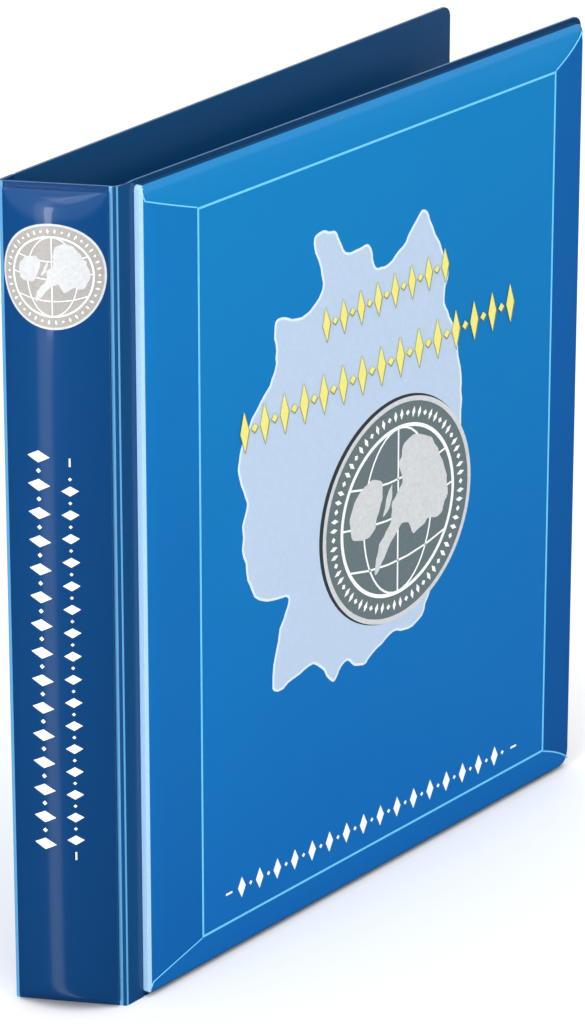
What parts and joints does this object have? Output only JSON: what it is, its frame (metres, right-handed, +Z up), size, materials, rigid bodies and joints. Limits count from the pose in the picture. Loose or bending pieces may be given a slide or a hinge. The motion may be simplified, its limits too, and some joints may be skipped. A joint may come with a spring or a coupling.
{
  "type": "coin album",
  "caption": "Upright ring binder for coins: padded blue vinyl covers and rounded spine, with a lever-opened ring mechanism that holds hinged clear pocket pages.",
  "frame": {"origin": "middle of the footprint, on the surface that the standing album rests on", "axes": "+X from the spine to the fore-edge, +Y from the front cover to the rear cover, +Z up"},
  "size_m": [0.2562, 0.049, 0.28],
  "materials": {
    "cover_film": "clear gloss film over a printed blue sheet",
    "printed_sheet": "printed, satin",
    "inner_vinyl": "fine grain, satin",
    "hinge_vinyl": "welded, ribbed",
    "greyboard": "raw board",
    "foam": "open foam",
    "nickel_plate": "nickel plated",
    "ring_chrome": "polished",
    "clear_foil": "clear, gloss",
    "page_card": "matt card"
  },
  "bodies": {
    "rear_cover": {"rear_liner": "inner_vinyl", "rear_board": "greyboard", "rear_pad": "foam", "rear_print": "printed_sheet", "rear_film": "cover_film", "rear_hinge_strip": "hinge_vinyl", "ring_housing": "nickel_plate", "lower_rivet": "nickel_plate", "upper_rivet": "nickel_plate", "lower_lever_pin": "nickel_plate", "upper_lever_pin": "nickel_plate"},
    "spine": {"spine_liner": "inner_vinyl", "spine_board": "greyboard", "spine_pad": "foam", "spine_print": "printed_sheet", "spine_film": "cover_film", "spine_front_hinge_strip": "hinge_vinyl", "spine_rear_hinge_strip": "hinge_vinyl"},
    "front_cover": {"front_liner": "inner_vinyl", "front_board": "greyboard", "front_pad": "foam", "front_print": "printed_sheet", "front_film": "cover_film", "front_hinge_strip": "hinge_vinyl"},
    "fore_side_rail": {"fore_side_ring_blade": "nickel_plate", "fore_side_half_ring_1": "ring_chrome", "fore_side_half_ring_2": "ring_chrome", "fore_side_half_ring_3": "ring_chrome", "fore_side_half_ring_4": "ring_chrome"},
    "spine_side_rail": {"spine_side_ring_blade": "nickel_plate", "spine_side_half_ring_1": "ring_chrome", "spine_side_half_ring_2": "ring_chrome", "spine_side_half_ring_3": "ring_chrome", "spine_side_half_ring_4": "ring_chrome"},
    "lower_lever": {"lower_lever": "nickel_plate"},
    "upper_lever": {"upper_lever": "nickel_plate"},
    "page_1": {"page_1_foil": "clear_foil", "page_1_card": "page_card"},
    "page_2": {"page_2_foil": "clear_foil", "page_2_card": "page_card"},
    "page_3": {"page_3_foil": "clear_foil", "page_3_card": "page_card"},
    "page_4": {"page_4_foil": "clear_foil", "page_4_card": "page_card"},
    "page_5": {"page_5_foil": "clear_foil", "page_5_card": "page_card"}
  },
  "joints": [
    {"name": "spine_hinge", "type": "hinge", "parent": "rear_cover", "child": "spine", "pos_m": [-0.12754, 0.01182, 0], "axis": [0, 0, -1], "range_deg": [0, 118]},
    {"name": "front_cover_hinge", "type": "hinge", "parent": "spine", "child": "front_cover", "pos_m": [-0.10858, -0.02076, 0], "axis": [0, 0, -1], "range_deg": [0, 120]},
    {"name": "ring_opening", "type": "hinge", "parent": "rear_cover", "child": "fore_side_rail", "pos_m": [-0.08124, 0.01022, 0], "axis": [0, 0, 1], "range_deg": [0, 13]},
    {"name": "spine_side_rail_pivot", "type": "hinge", "parent": "rear_cover", "child": "spine_side_rail", "pos_m": [-0.09763, 0.00954, 0], "axis": [0, 0, -1], "range_deg": [0, 13]},
    {"name": "lower_lever_pivot", "type": "hinge", "parent": "rear_cover", "child": "lower_lever", "pos_m": [-0.08937, 0.00828, 0.0335], "axis": [0.9992, 0.041, 0], "range_deg": [0, 25]},
    {"name": "upper_lever_pivot", "type": "hinge", "parent": "rear_cover", "child": "upper_lever", "pos_m": [-0.08937, 0.00828, 0.2465], "axis": [-0.9992, -0.041, 0], "range_deg": [0, 25]},
    {"name": "page_1_turn", "type": "hinge", "parent": "rear_cover", "child": "page_1", "pos_m": [-0.08895, -0.00199, 0], "axis": [0, 0, -1], "range_deg": [0, 102.5]},
    {"name": "page_2_turn", "type": "hinge", "parent": "rear_cover", "child": "page_2", "pos_m": [-0.08895, -0.00199, 0], "axis": [0, 0, -1], "range_deg": [0, 79.7]},
    {"name": "page_3_turn", "type": "hinge", "parent": "rear_cover", "child": "page_3", "pos_m": [-0.08895, -0.00199, 0], "axis": [0, 0, -1], "range_deg": [0, 56.9]},
    {"name": "page_4_turn", "type": "hinge", "parent": "rear_cover", "child": "page_4", "pos_m": [-0.08895, -0.00199, 0], "axis": [0, 0, -1], "range_deg": [0, 34.1]},
    {"name": "page_5_turn", "type": "hinge", "parent": "rear_cover", "child": "page_5", "pos_m": [-0.08895, -0.00199, 0], "axis": [0, 0, -1], "range_deg": [0, 11.3]}
  ],
  "couplings": [
    {"joint": "spine_side_rail_pivot", "follows": "ring_opening", "ratio": 1},
    {"joint": "lower_lever_pivot", "follows": "ring_opening", "ratio": 1.9},
    {"joint": "upper_lever_pivot", "follows": "ring_opening", "ratio": 1.9},
    {"joint": "page_1_turn", "follows": "front_cover_hinge", "ratio": 0.85},
    {"joint": "page_2_turn", "follows": "front_cover_hinge", "ratio": 0.66},
    {"joint": "page_3_turn", "follows": "front_cover_hinge", "ratio": 0.47},
    {"joint": "page_4_turn", "follows": "front_cover_hinge", "ratio": 0.28},
    {"joint": "page_5_turn", "follows": "front_cover_hinge", "ratio": 0.09}
  ]
}
